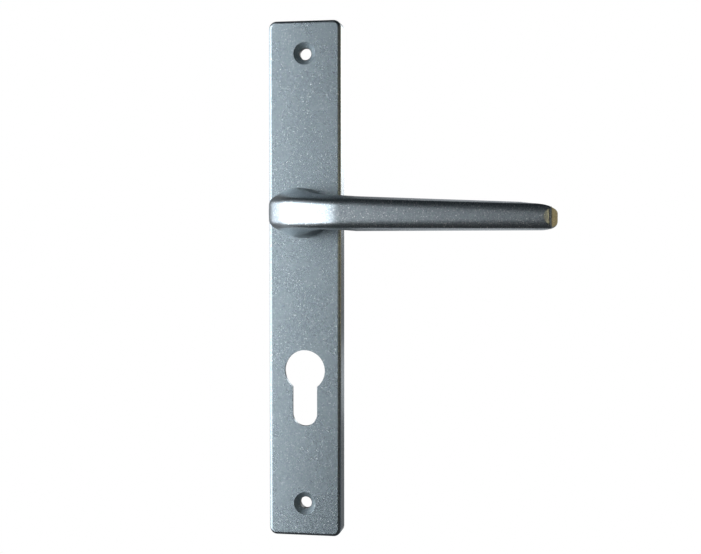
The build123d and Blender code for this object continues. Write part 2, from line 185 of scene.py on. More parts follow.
def round_half(depth, half_height):
    """Upper half of a round outline at the angles of the bar's corners.

    At an angle a it is half_height sin a across and (cos a - 1) depth / 2 inward."""
    panel_angle = np.arcsin(PANEL_HALF_NECK / neck_radius)
    edge_angle = np.arcsin((PANEL_HALF_NECK + edge_width) / neck_radius)
    widest = np.pi / 2
    edge_halfway, flank_halfway = (panel_angle + edge_angle) / 2, (edge_angle + widest) / 2
    angles = np.array([panel_angle, edge_halfway, edge_angle, flank_halfway, widest])
    across = half_height[:, None] * np.sin(angles)
    inward = (np.cos(angles) - 1) * depth[:, None] / 2
    return np.stack([across, inward], axis=-1)


def bar_half(panel_half, flank_half, depth):
    """Upper half of the bar: panel's end, edge, flared flank, widest point.

    The flank's middle is halfway between the edge's end and the widest point, plus a bulge."""
    edge_end = panel_half + edge_width
    crown = np.full_like(depth, PANEL_CROWN)
    across = [
        panel_half,
        panel_half + edge_middle[0],
        edge_end,
        (edge_end + flank_half) / 2 + FLANK_BULGE,
        flank_half,
    ]
    inward = [
        -crown,
        -crown - edge_middle[1],
        -crown - edge_depth,
        -(crown + edge_depth + depth / 2) / 2,
        -depth / 2,
    ]
    return np.stack([np.stack(across, -1), np.stack(inward, -1)], axis=-1)


def outline(half, depth, panel_drop, flank_drop):
    """Closed outline of six arcs, (rows, points, 2), from the half outline's five points.

    The panel and the widest points are lowered by their drops, because the grip slopes."""
    drops = np.stack(
        [panel_drop, panel_drop, panel_drop, (panel_drop + flank_drop) / 2, flank_drop], -1
    )
    high = np.stack([half[..., 0] - drops, half[..., 1]], axis=-1)
    low = np.stack([-half[..., 0] - drops, half[..., 1]], axis=-1)
    front = np.stack([-panel_drop, np.zeros_like(depth)], -1)
    back = np.stack([-flank_drop, -depth], -1)
    runs = [
        (low[:, 0], front, high[:, 0], "panel"),
        (high[:, 0], high[:, 1], high[:, 2], "edge"),
        (high[:, 2], high[:, 3], high[:, 4], "flank"),
        (high[:, 4], back, low[:, 4], "back"),
        (low[:, 4], low[:, 3], low[:, 2], "flank"),
        (low[:, 2], low[:, 1], low[:, 0], "edge"),
    ]
    shares = {run: np.linspace(0, 1, count, endpoint=False) for run, count in ARC_POINTS.items()}
    return np.concatenate([arc_through(a, b, c, shares[run]) for a, b, c, run in runs], axis=1)


ring_points = sum(ARC_POINTS[run] for run in ("panel", "edge", "flank", "back", "flank", "edge"))
print("points in a ring:", ring_points)

# %% [markdown]
# ## Neck and bend
#
# The front of the lever bends round a quarter ellipse, and its back round a quarter circle
# whose axis is nearer the grip. Sections fan out from that inner axis. Below the bend the
# neck goes straight down to the plate. One angle runs through all of it: negative on the
# neck, 0 at its top and 90 where the straight grip begins. The round neck gets its edges
# first, then its flat flanks, and each width changes between angles of its own: the flanks
# are as narrow as the grip's at 62 degrees.

# %% Rings of the neck and bend
GRIP_DEPTH_BEND = 12.0
OUTER_LENGTH = 36.0
OUTER_HEIGHT = 32.0
INNER_RADIUS = 20.0
NECK_SPAN_DEG = 20
NECK_ROUND_HEIGHT = 6.0
NECK_TOP_HALF = 10.4
PANEL_HALF_BEND = 2.83
FLANK_HALF_BEND = 7.05
DROP_BEND = 1.1
BEND_DEG = 90
ROUND_UNTIL_DEG = -26
NECK_NARROW_BY_DEG = 10
EDGED_BY_DEG = 12
FLAT_BY_DEG = 40
FLANK_NARROW_BY_DEG = 62
PANEL_DROP_BY_DEG = 75
PANEL_NARROWS_DEG = (20, 85)
STEEPEST_RAY = 0.01
NECK_TOP_RINGS = 12
BEND_RINGS = 110

outer_axis_x = OUTER_LENGTH - neck_radius
outer_axis_height = GRIP_PROJECTION - OUTER_HEIGHT
inner_axis_x = neck_radius + INNER_RADIUS
inner_axis_height = GRIP_PROJECTION - GRIP_DEPTH_BEND - INNER_RADIUS


def reach_to_front(angle):
    """Distance from the inner axis to the lever's front along a ray at that angle.

    On the ellipse (gap_x - r cos)^2 / L^2 + (gap_h + r sin)^2 / H^2 = 1, a quadratic in r.
    Past the ellipse the ray meets the flat front instead."""
    across, along = np.cos(np.radians(angle)), np.sin(np.radians(angle))
    gap_x, gap_height = inner_axis_x - outer_axis_x, inner_axis_height - outer_axis_height
    flat = (GRIP_PROJECTION - inner_axis_height) / np.maximum(along, STEEPEST_RAY)
    square = (across / OUTER_LENGTH) ** 2 + (along / OUTER_HEIGHT) ** 2
    double = gap_height * along / OUTER_HEIGHT**2 - gap_x * across / OUTER_LENGTH**2
    rest = (gap_x / OUTER_LENGTH) ** 2 + (gap_height / OUTER_HEIGHT) ** 2 - 1
    curved = (np.sqrt(double**2 - square * rest) - double) / square
    return np.where(inner_axis_x - flat * across > outer_axis_x, flat, curved)


def bend_rings(angle):
    """Rings of the neck and bend, (angles, points, 3), in millimetres.

    A ring is the section's outline, laid in the plane of its ray with its front on the
    lever's front: a point is the front plus its inward number times the outward direction."""
    turn = np.radians(np.maximum(angle, 0))
    reach = reach_to_front(np.maximum(angle, 0))
    below = np.minimum(angle, 0) * (outer_axis_height - NECK_ROUND_HEIGHT) / NECK_SPAN_DEG
    outward = np.stack([-np.cos(turn), -np.sin(turn)], -1)
    front_x = inner_axis_x - reach * np.cos(turn)
    front_y = -plate_depth - (inner_axis_height + reach * np.sin(turn) + below)
    depth = np.where(angle < 0, 2 * neck_radius, reach - INNER_RADIUS)
    neck_narrowing = smooth_step(angle, -NECK_SPAN_DEG, NECK_NARROW_BY_DEG)
    neck_half = mix(neck_radius, NECK_TOP_HALF, neck_narrowing)
    flank_half = mix(neck_half, FLANK_HALF_BEND, smooth_step(angle, 0, FLANK_NARROW_BY_DEG))
    panel_half = mix(PANEL_HALF_NECK, PANEL_HALF_BEND, smooth_step(angle, *PANEL_NARROWS_DEG))
    edging = smooth_step(angle, ROUND_UNTIL_DEG, EDGED_BY_DEG)
    flattening = smooth_step(angle, ROUND_UNTIL_DEG, FLAT_BY_DEG)
    share = np.stack([edging, edging, edging, flattening, np.ones_like(angle)], -1)[..., None]
    half = mix(round_half(depth, neck_half), bar_half(panel_half, flank_half, depth), share)
    panel_drop = DROP_BEND * smooth_step(angle, 0, PANEL_DROP_BY_DEG)
    flank_drop = DROP_BEND * (np.maximum(angle, 0) / BEND_DEG) ** 3
    flat = outline(half, depth, panel_drop, flank_drop)
    x = front_x[:, None] + flat[..., 1] * outward[:, None, 0]
    y = front_y[:, None] + flat[..., 1] * outward[:, None, 1]
    return np.stack([x, y, flat[..., 0]], axis=-1)


neck_top_angles = np.linspace(-NECK_SPAN_DEG, 0, NECK_TOP_RINGS, endpoint=False)
bend = bend_rings(np.concatenate([neck_top_angles, np.linspace(0, BEND_DEG, BEND_RINGS)]))
print("bend rings:", bend.shape[:2])

# %% [markdown]
# ## Grip
#
# The grip is straight, so its surface is ruled: each point of the first outline is joined by
# a line to its partner in the outline at the end. The end itself is cut back in four ways:
# the panel's rolled edge goes round it too, a slope leads on to the full reach, the back
# corner is round, and so are the upper and lower corners. The largest of them says how far
# short of the full reach each point stops, and a sum of high powers takes the largest
# without a crease. The cuts depend on the outline at the stop itself, so a few rounds of
# working it out settle it.

# %% Grip and its end
GRIP_DEPTH_TIP = 11.0
PANEL_HALF_TIP = 1.73
FLANK_HALF_TIP = 5.35
DROP_TIP = 2.55
TIP_FLARE = 2.0
TIP_BACK_RADIUS = 4.5
UPPER_CORNER = (14.0, 4.4)
LOWER_CORNER = (7.5, 3.7)
CORNER_OVERRUN = 0.1
END_SOFTNESS = 5
SETTLING_ROUNDS = 6


def grip_outline(panel_half, flank_half, depth, drop):
    """One outline of the grip, (points, 2)."""
    one = np.ones(1)
    half = bar_half(panel_half * one, flank_half * one, depth * one)
    return outline(half, depth * one, drop * one, drop * one)[0]


grip_start = grip_outline(PANEL_HALF_BEND, FLANK_HALF_BEND, GRIP_DEPTH_BEND, DROP_BEND)
grip_end = grip_outline(PANEL_HALF_TIP, FLANK_HALF_TIP, GRIP_DEPTH_TIP, DROP_TIP)


def grip_point(x):
    """Across and inward of the ruled grip at x, which is (rows, points).

    It is start + (end - start) times the share of the grip's length up to x."""
    share = ((x - inner_axis_x) / (lever_reach - inner_axis_x))[..., None]
    return mix(grip_start, grip_end, share)


def setback(across, inward):
    """How far short of the full reach the end is, over the grip's own section.

    The four cuts are the flare with its roll, the back and the upper and lower corners. They
    are joined as (a^5 + b^5 + c^5 + d^5) ^ (1/5)."""
    level = across + DROP_TIP
    into_edge = np.clip(-inward, 0, edge_depth) / EDGE_RADIUS
    turned = np.arccos(np.cos(np.radians(EDGE_START_DEG)) - into_edge)
    roll = TIP_FLARE + edge_width - edge_arc(np.degrees(turned))[0]
    slope_end = GRIP_DEPTH_TIP / 2
    slope = TIP_FLARE * np.clip((slope_end + inward) / (slope_end - edge_depth), 0, 1)
    flare = np.where(-inward < edge_depth, roll, slope)
    into_back = np.clip(-inward - (GRIP_DEPTH_TIP - TIP_BACK_RADIUS), 0, TIP_BACK_RADIUS)
    back = TIP_BACK_RADIUS - np.sqrt(TIP_BACK_RADIUS**2 - into_back**2)
    ends = []
    for side, (length, height) in ((1, UPPER_CORNER), (-1, LOWER_CORNER)):
        room = np.clip(FLANK_HALF_TIP + CORNER_OVERRUN - side * level, 0, height)
        ends.append(length * (1 - np.sqrt(room / height)) ** 2)
    return sum(part**END_SOFTNESS for part in [flare, back, *ends]) ** (1 / END_SOFTNESS)


tip_x = np.full(ring_points, lever_reach - TIP_FLARE)
for _ in range(SETTLING_ROUNDS):
    tip_flat = grip_point(tip_x)
    tip_x = lever_reach - setback(tip_flat[:, 0], tip_flat[:, 1])
print(f"grip stops between x = {tip_x.min():.1f} and {tip_x.max():.1f} mm")

# %% [markdown]
# ## Rounding the sharp edge of the end
#
# No lacquered casting has a knife edge. Where the side meets the end, the last bit of each
# line is replaced by a quadratic curve whose control point is the old sharp corner. The
# same trick works for every point of the ring at once.

# %% Rings of the grip
EDGE_ROUNDING = 0.55
SIDE_RINGS = 64
SIDE_CROWDING = 1.3
ROUNDING_RINGS = 7
CAP_RINGS = 30
CAP_CROWDING = 1.6


def to_space(x, flat):
    """Points of the grip at x: its panel's middle is at the projection, across is upward."""
    return np.stack([x, -plate_depth - GRIP_PROJECTION - flat[..., 1], flat[..., 0]], axis=-1)


cap_centre = np.array([-DROP_TIP, -GRIP_DEPTH_TIP / 2])
inset = EDGE_ROUNDING / np.linalg.norm(tip_flat - cap_centre, axis=1)


def cap_ring(share):
    """The end's surface where the last outline is drawn in to its centre by a share, (n, 1)."""
    flat = mix(tip_flat, cap_centre, share[..., None])
    return to_space(lever_reach - setback(flat[..., 0], flat[..., 1]), flat)


side_shares = 1 - (1 - np.linspace(0, 1, SIDE_RINGS)) ** SIDE_CROWDING
side_x = mix(inner_axis_x, (tip_x - EDGE_ROUNDING)[None, :], side_shares[1:, None])
side = to_space(side_x, grip_point(side_x))
corner = to_space(tip_x, tip_flat)
along = np.linspace(0, 1, ROUNDING_RINGS)[1:, None, None]
rounding = (
    (1 - along) ** 2 * side[-1] + 2 * along * (1 - along) * corner + along**2 * cap_ring(inset)
)
cap_shares = np.linspace(0, 1, CAP_RINGS)[1:-1] ** CAP_CROWDING
cap = cap_ring(mix(inset[None, :], 1.0, cap_shares[:, None]))
tip_pole = to_space(np.array(lever_reach), cap_centre)
print("grip rings:", len(side) + len(rounding) + len(cap))

# %% [markdown]
# ## Spigot
#
# Behind the neck the casting goes on as a round spigot that turns in the plate. It has a
# groove for the circlip, two flats for the spring's driver, and a square socket for the
# spindle. All of it is the neck's own ring carried on: the ring's angles stay, and only the
# radius, the height of the flats and the distance from the door change.

# %% Rings of the spigot
SPIGOT_RADIUS = 8.0
SPIGOT_FLAT = 6.5
FLATS_START = 5.0
GROOVE = (1.08, 1.92, 7.3)
SPIGOT_END = 0.4
SOCKET_HALF = 4.05
SOCKET_FLOOR = 25.0
POLE_HALF = 0.01
NECK_BASE_RINGS = 8

neck_angle = np.arctan2(bend[0, :, 2], bend[0, :, 0])


def round_ring(distance, radius, flat=np.inf):
    """A ring at a distance from the door: a circle, with its top and bottom cut to flats."""
    z = np.clip(radius * np.sin(neck_angle), -flat, flat)
    x = radius * np.cos(neck_angle)
    return np.stack([x, np.full_like(x, -distance), z], axis=-1)


def square_ring(distance, half):
    """A ring at a distance from the door, on a square: each ray stops at the square's side."""
    stretch = half / np.maximum(np.abs(np.cos(neck_angle)), np.abs(np.sin(neck_angle)))
    x, z = stretch * np.cos(neck_angle), stretch * np.sin(neck_angle)
    return np.stack([x, np.full_like(x, -distance), z], axis=-1)


neck_round_end = plate_depth + NECK_ROUND_HEIGHT
neck_heights = np.linspace(neck_base, neck_round_end, NECK_BASE_RINGS)[:-1]
neck_rings = np.array([round_ring(distance, neck_radius) for distance in neck_heights])
groove_rear, groove_front, groove_radius = GROOVE
spigot = np.array(
    [
        square_ring(SOCKET_FLOOR, POLE_HALF),
        square_ring(SOCKET_FLOOR, SOCKET_HALF),
        square_ring(SPIGOT_END, SOCKET_HALF),
        round_ring(SPIGOT_END, SPIGOT_RADIUS, SPIGOT_FLAT),
        round_ring(groove_rear, SPIGOT_RADIUS, SPIGOT_FLAT),
        round_ring(groove_rear, groove_radius, SPIGOT_FLAT),
        round_ring(groove_front, groove_radius, SPIGOT_FLAT),
        round_ring(groove_front, SPIGOT_RADIUS, SPIGOT_FLAT),
        round_ring(FLATS_START, SPIGOT_RADIUS, SPIGOT_FLAT),
        round_ring(FLATS_START, SPIGOT_RADIUS),
        round_ring(neck_base, SPIGOT_RADIUS),
    ]
)
print("spigot rings:", len(spigot))

# %% [markdown]
# ## From rings to a mesh
#
# Neighbouring rings are joined by quads, and the two ends are closed by fans to a pole. The
# mesh is one closed skin. Its signed volume tells whether the faces look outward, and edges
# sharper than 35 degrees are marked so that smooth shading stops there.

# %% Skin builder
SHARP_DEG = 35


def skin(name, rings, first_pole, last_pole, body, replaced):
    """One closed mesh from rings (rows, points, 3) in millimetres, riding on a body."""
    rows, points = rings.shape[:2]
    vertices = np.vstack([rings.reshape(-1, 3), first_pole, last_pole]) * MM
    step = np.arange(points)
    row = np.arange(rows - 1)[:, None] * points
    after = (step + 1) % points
    quads = np.stack([row + step, row + after, row + points + after, row + points + step], -1)
    first, last = rows * points, rows * points + 1
    end = (rows - 1) * points
    fans = np.vstack(
        [
            np.stack([after, step, np.full(points, first)], -1),
            np.stack([end + step, end + after, np.full(points, last)], -1),
        ]
    )
    quad = quads.reshape(-1, 4)
    faces = quad.tolist() + fans.tolist()
    triangles = np.vstack([quad[:, [0, 1, 2]], quad[:, [0, 2, 3]], fans])
    a, b, c = (vertices[triangles[:, side]] for side in range(3))
    volume = np.einsum("ij,ij->", a, np.cross(b, c)) / 6
    if volume < 0:
        faces = [face[::-1] for face in faces]
    mesh = bpy.data.meshes.new(name)
    mesh.from_pydata(vertices.tolist(), [], faces)
    mesh.polygons.foreach_set("use_smooth", [True] * len(mesh.polygons))
    mesh.set_sharp_from_angle(angle=radians(SHARP_DEG))
    mesh.update()
    piece = bpy.data.objects.new(name, mesh)
    bpy.context.scene.collection.objects.link(piece)
    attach(piece, body)
    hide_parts(*replaced)
    print(name, "triangles:", len(triangles), "volume mm3:", round(abs(volume) / MM**3))
    return piece


lever_rings = np.concatenate([spigot, neck_rings, bend, side, rounding, cap])
socket_pole = np.array([0.0, -SOCKET_FLOOR, 0.0])
lever_skin = skin(
    "lever_casting", lever_rings, socket_pole, tip_pole, "lever", ["lever"]
)

# %% [markdown]
# ## Materials
#
# Colours are written as sRGB hex values, the way a maker's colour card gives them, and turned
# to Blender's linear values by one function. Another function adds a shader node with its
# settings and links, so that each material reads as a short recipe. Every grain has its size
# in millimetres, read in the piece's own coordinates. A noise rarely leaves the stretch from
# 0.3 to 0.7, so tones and roughness are spread over that stretch.

# %% Material helpers
NOISE_STRETCH = (0.3, 0.7)


def linear(hex_colour):
    """sRGB hex to linear RGBA: c / 12.92 when dark, else ((c + 0.055) / 1.055) ^ 2.4."""
    values = [int(hex_colour[i : i + 2], 16) / 255 for i in (1, 3, 5)]
    return [v / 12.92 if v <= 0.04045 else ((v + 0.055) / 1.055) ** 2.4 for v in values] + [1]


def new_material(name):
    """An empty material and its node tree."""
    material = bpy.data.materials.new(name)
    material.use_nodes = True
    material.node_tree.nodes.clear()
    return material, material.node_tree


def add(tree, kind, settings=None, *by_place, **by_name):
    """Adds a shader node with its settings and links, and returns its outputs.

    An input is a value or another node's output, given by its place or its name. The setting
    stops fills a colour ramp: each stop is a place from 0 to 1 and a hex colour."""
    node = tree.nodes.new("ShaderNode" + kind)
    settings = dict(settings or {})
    stops = settings.pop("stops", ())
    while stops and len(node.color_ramp.elements) < len(stops):
        node.color_ramp.elements.new(1.0)
    for number, (place, colour) in enumerate(stops):
        element = node.color_ramp.elements[number]
        element.position, element.color = place, linear(colour)
    for key, value in settings.items():
        setattr(node, key, value)
    named = {name.replace("_", " "): value for name, value in by_name.items()}
    for key, value in [*enumerate(by_place), *named.items()]:
        if isinstance(value, bpy.types.NodeSocket):
            tree.links.new(value, node.inputs[key])
        else:
            node.inputs[key].default_value = value
    return node.outputs


def axes(tree):
    """The piece's own coordinates X, Y and Z, in metres, by name."""
    return add(tree, "SeparateXYZ", Vector=add(tree, "TexCoord")["Object"])


def grain(tree, size_mm, detail=2.0, stretch=(1, 1, 1)):
    """Noise with lumps about size_mm across, longer along an axis whose stretch is small."""
    place = add(tree, "TexCoord")["Object"]
    drawn_out = add(tree, "Mapping", Vector=place, Scale=stretch)[0]
    return add(tree, "TexNoise", Vector=drawn_out, Scale=1 / (size_mm * MM), Detail=detail)[0]


def finish_material(material, tree, shader):
    """Wires a shader to the material's output."""
    add(tree, "OutputMaterial", Surface=shader)
    return material


# %% [markdown]
# ## Metallic lacquer
#
# The plate and lever are die-cast and sprayed with a titanium-grey metallic lacquer:
# aluminium flakes in a tinted binder. The eye sees a soft satin reflection, and a fine
# sparkle where single flakes lie at the right angle. Each cell of a Voronoi pattern stands
# for a flake. Its random colour leans the surface a little and picks the flake's tone from a
# short scale of greys, some of them bluer. A few cells are much brighter than the rest: these
# are painted glints, sparkle painted into the colour. Real flakes are 0.05 mm across; here
# they are 0.34 mm, the finest that still shows at this distance.
#
# The lever's tones are a little lighter than the plate's: a lit copy of the same lacquer,
# which paints light on the grip. Its flakes lie less flat, and it has more painted glints. In
# the screw countersinks the spray lands dry and rough. The gun reaches only the outside: in
# the plate's hollow, and on the part of the lever that turns in the plate, the bare casting
# shows.

# %% Metallic lacquer
FLAKE_MM = 0.34
# The top stop is a painted glint: a few flakes coloured near white stand for sparkle.
PLATE_FLAKES_AND_GLINTS = (
    (0.0, "#8b969d"),
    (0.3, "#99a2ad"),
    (0.6, "#97a7a9"),
    (0.95, "#a4adb4"),
    (1.0, "#d2d8da"),
)
# Lighter than the plate's tones: painted light on the grip. The wider near-white top stop is
# painted glints.
LEVER_LIT_FLAKES_AND_GLINTS = (
    (0.0, "#8f9aa1"),
    (0.3, "#a9adb6"),
    (0.6, "#a5b3b6"),
    (0.92, "#b9bfc3"),
    (1.0, "#f2f3f2"),
)
LACQUER_WAVE_MM, LACQUER_WAVE_DEPTH_MM = 3.0, 0.0002
LACQUER_CLOUD_MM, LACQUER_CLOUD_ROUGHNESS = 14, 0.015
DRY_SPRAY_ROUGHNESS = 0.45
SCREW_SPACING = 200.0
COUNTERSINK_RADIUS = 5.1
COUNTERSINK_START = 0.1
HOLLOW_WALL = 1.95
HOLLOW_DEPTH = 6.85


def off_middle(tree, axis):
    """Distance from the plate's middle along an axis, in metres."""
    middle = plate_middle["XYZ".index(axis)] * MM
    shift = add(tree, "Math", {"operation": "SUBTRACT"}, axes(tree)[axis], middle)[0]
    return add(tree, "Math", {"operation": "ABSOLUTE"}, shift)[0]


def in_the_hollow(tree):
    """1 inside the plate's hollow and 0 on the outside, from the plate's own box."""
    reach = (plate_high - plate_low) / 2 - HOLLOW_WALL
    rear = -HOLLOW_DEPTH * MM
    inside = add(tree, "Math", {"operation": "GREATER_THAN"}, axes(tree)["Y"], rear)[0]
    for axis, room in (("X", reach[0] * MM), ("Z", reach[2] * MM)):
        within = add(tree, "Math", {"operation": "LESS_THAN"}, off_middle(tree, axis), room)[0]
        inside = add(tree, "Math", {"operation": "MULTIPLY"}, inside, within)[0]
    return inside


def in_a_countersink(tree):
    """1 inside the two screw countersinks, which lie the same way from the plate's middle.

    The distance from a screw's axis is the square root of x^2 + along^2."""
    place = axes(tree)
    half = SCREW_SPACING / 2 * MM
    along = add(tree, "Math", {"operation": "SUBTRACT"}, off_middle(tree, "Z"), half)[0]
    squares = [
        add(tree, "Math", {"operation": "POWER"}, side, 2.0)[0] for side in (place["X"], along)
    ]
    total = add(tree, "Math", {"operation": "ADD"}, *squares)[0]
    distance = add(tree, "Math", {"operation": "SQRT"}, total)[0]
    radius, face = COUNTERSINK_RADIUS * MM, -(plate_depth - COUNTERSINK_START) * MM
    near = add(tree, "Math", {"operation": "LESS_THAN"}, distance, radius)[0]
    below = add(tree, "Math", {"operation": "GREATER_THAN"}, place["Y"], face)[0]
    return add(tree, "Math", {"operation": "MULTIPLY"}, near, below)[0]


def leaning_flakes(tree, lean):
    """The tone number of each flake, from 0 to 1, and the normal that leans with it.

    The normal is the lacquer's own plus lean times the cell's colour less one half."""
    place = add(tree, "TexCoord")["Object"]
    colour = add(tree, "TexVoronoi", Vector=place, Scale=1 / (FLAKE_MM * MM))["Color"]
    centred = add(tree, "VectorMath", {"operation": "SUBTRACT"}, colour, (0.5, 0.5, 0.5))[0]
    tilt = add(tree, "VectorMath", {"operation": "SCALE"}, centred, Scale=lean)[0]
    wave = grain(tree, LACQUER_WAVE_MM, 1.0)
    relief = add(tree, "Bump", Height=wave, Distance=LACQUER_WAVE_DEPTH_MM * MM)[0]
    leaned = add(tree, "VectorMath", {"operation": "ADD"}, relief, tilt)[0]
    normal = add(tree, "VectorMath", {"operation": "NORMALIZE"}, leaned)[0]
    return add(tree, "SeparateColor", Color=colour)["Blue"], normal


def bare_casting(tree):
    """Die-cast zinc as it leaves the mould, with faint marks of how the metal flowed."""
    flow = grain(tree, 5.0, 4.0, (1, 1, 0.35))
    greys = tuple(zip(NOISE_STRETCH, ("#77797a", "#989a9a")))
    return add(
        tree,
        "BsdfPrincipled",
        Base_Color=add(tree, "ValToRGB", {"stops": greys}, flow)[0],
        Metallic=1.0,
        Roughness=add(tree, "MapRange", {}, flow, *NOISE_STRETCH, 0.55, 0.42)[0],
        Normal=add(tree, "Bump", Height=grain(tree, 0.5, 3.0), Distance=0.02 * MM)[0],
    )[0]


def metallic_lacquer(name, flake_and_glint_tones, lean, rough):
    """Titanium-grey metallic lacquer, with painted glints among its flake tones, and the bare
    casting where the spray doesn't reach.
    """
    material, tree = new_material(name)
    flake, normal = leaning_flakes(tree, lean)
    cloud = grain(tree, LACQUER_CLOUD_MM, 3.0)
    rough_ends = rough, rough + LACQUER_CLOUD_ROUGHNESS
    satin = add(tree, "MapRange", {}, cloud, *NOISE_STRETCH, *rough_ends)[0]
    countersink = in_a_countersink(tree)
    dry = add(tree, "Math", {"operation": "MULTIPLY"}, countersink, DRY_SPRAY_ROUGHNESS)[0]
    lacquer = add(
        tree,
        "BsdfPrincipled",
        Base_Color=add(tree, "ValToRGB", {"stops": flake_and_glint_tones}, flake)[0],
        Metallic=1.0,
        Roughness=add(tree, "Math", {"operation": "ADD"}, satin, dry)[0],
        Normal=normal,
    )[0]
    both = add(tree, "MixShader", {}, in_the_hollow(tree), lacquer, bare_casting(tree))[0]
    return finish_material(material, tree, both)


def dress(piece, material):
    """Gives a piece one material, in its only material slot."""
    piece.data.materials.clear()
    piece.data.materials.append(material)


# The lever's lacquer is a lighter, lit copy of the plate's, painting light on the grip; both
# carry painted glints.
lever_lacquer_lit_copy = metallic_lacquer("lever_lit_lacquer_with_painted_glints", LEVER_LIT_FLAKES_AND_GLINTS, lean=0.055, rough=0.285)
plate_lacquer = metallic_lacquer("plate_lacquer_with_painted_glints", PLATE_FLAKES_AND_GLINTS, lean=0.03, rough=0.265)
dress(lever_skin, lever_lacquer_lit_copy)
dress(nodes["back_plate"], plate_lacquer)
print("lacquered:", lever_skin.name, "and back_plate")

# %% [markdown]
# ## The small parts behind the plate
#
# The bush and washer are moulded in acetal, so that the lever turns without grease. The
# driver is sintered steel, dull and finely pitted. The spring is drawn wire, bright and
# lightly oiled. The circlip is phosphated spring steel, almost black. The cover and its
# screws are bright zinc, with the cloudy tone that plating has. All four metals are one
# recipe, because each is a metal whose tone follows a fine grain and a larger cloud.

# %% Materials of the small parts
CLOUD_TO_GRAIN = 9
GRAIN_SHARE = 0.6
METAL_TONE_RANGE = (0.35, 0.65)


def grained_metal(name, dark, light, size_mm, rough, relief_mm, stretch=(1, 1, 1)):
    """A metal with relief from its grain, and a tone of 0.6 grain and 0.4 cloud."""
    material, tree = new_material(name)
    fine = grain(tree, size_mm, 4.0, stretch)
    cloud = grain(tree, size_mm * CLOUD_TO_GRAIN, 2.0)
    cloud_part = add(tree, "Math", {"operation": "MULTIPLY"}, cloud, 1 - GRAIN_SHARE)[0]
    blend = add(tree, "Math", {"operation": "MULTIPLY_ADD"}, fine, GRAIN_SHARE, cloud_part)[0]
    stops = tuple(zip(METAL_TONE_RANGE, (dark, light)))
    shader = add(
        tree,
        "BsdfPrincipled",
        Base_Color=add(tree, "ValToRGB", {"stops": stops}, blend)[0],
        Metallic=1.0,
        Roughness=add(tree, "MapRange", {}, cloud, *NOISE_STRETCH, *rough)[0],
        Normal=add(tree, "Bump", Height=fine, Distance=relief_mm * MM)[0],
    )
    return finish_material(material, tree, shader[0])


def moulded_acetal(name, dark, light):
    """Natural acetal: faintly clouded, with the fine texture of its mould."""
    material, tree = new_material(name)
    cloud = grain(tree, 4.0)
    stops = tuple(zip(NOISE_STRETCH, (dark, light)))
    shader = add(
        tree,
        "BsdfPrincipled",
        Base_Color=add(tree, "ValToRGB", {"stops": stops}, cloud)[0],
        Roughness=add(tree, "MapRange", {}, cloud, *NOISE_STRETCH, 0.42, 0.52)[0],
        Subsurface_Weight=0.15,
        Subsurface_Scale=0.5 * MM,
        Normal=add(tree, "Bump", Height=grain(tree, 0.3, 3.0), Distance=0.01 * MM)[0],
    )
    return finish_material(material, tree, shader[0])


acetal = moulded_acetal("natural_white_acetal", "#d9d6cb", "#e9e7df")
sintered = grained_metal(
    "sintered_steel", "#5b5a57", "#7c7a76", size_mm=0.35, rough=(0.55, 0.65), relief_mm=0.03
)
wire = grained_metal(
    "oiled_spring_wire", "#6f6d69", "#94918b", size_mm=0.25, rough=(0.22, 0.34), relief_mm=0.004
)
phosphated = grained_metal(
    "phosphated_steel", "#2b2b2d", "#3d3d3f", size_mm=0.2, rough=(0.5, 0.62), relief_mm=0.01
)
zinc = grained_metal(
    "bright_zinc_plate",
    "#a9b0b4",
    "#c6ccd0",
    size_mm=0.5,
    rough=(0.24, 0.38),
    relief_mm=0.006,
    stretch=(1, 1, 0.08),
)
dress(nodes["neck_bush"], acetal)
dress(nodes["thrust_washer"], acetal)
dress(nodes["spring_driver"], sintered)
dress(nodes["return_spring"], wire)
dress(nodes["circlip"], phosphated)
dress(nodes["spring_cover"], zinc)
for number in range(1, 5):
    dress(nodes[f"cover_screw_{number}"], zinc)
print("materials:", sorted(material.name for material in bpy.data.materials))

# %% [markdown]
# ## The studio
#
# The photograph is a catalogue shot of shiny metal, so what stands round the handle matters
# as much as the lamps. All the paper is plain white to the camera, and metal sees each sheet
# in its own tone, which can fade along an axis.
#
# The backdrop and floor are pale, and fade to grey away from the middle. The far wall, behind
# the camera, is what the grip's panel mirrors. It is bright at the left and dim at the right,
# so that the grip darkens towards its end. The black card behind the handle draws the dark
# outline round the bend. The pale card is mirrored by the plate's right wall, and the grey
# card and the warm card by the rolled edge in front of that wall. The tan wall, behind the
# camera at the right, gives the end of the grip its warm tone.

# %% Stage
BACK, FRONT, FLOOR, TOP, HALF = 900, -2600, -900, 1100, 2500
FAR_WALL_LEFT, FAR_WALL_HALF = -600, 600
BLACK_CARD_Y, PALE_CARD_Y, TAN_WALL_Y = BACK - 30, 760, FRONT + 10
WARM_CARD_X, GREY_CARD_X = 420, 1500


def stage_sheet(name, low, high, material):
    """A flat sheet of the studio, from two corners in millimetres that share one coordinate."""
    first, second = (axis for axis in range(3) if low[axis] != high[axis])
    corners = np.array([low] * 4) * MM
    corners[1:3, first] = high[first] * MM
    corners[2:, second] = high[second] * MM
    mesh = bpy.data.meshes.new(name)
    mesh.from_pydata(corners.tolist(), [], [(0, 1, 2, 3)])
    mesh.materials.append(material)
    sheet = bpy.data.objects.new(name, mesh)
    bpy.context.scene.collection.objects.link(sheet)
    print("stage:", name)
    return sheet


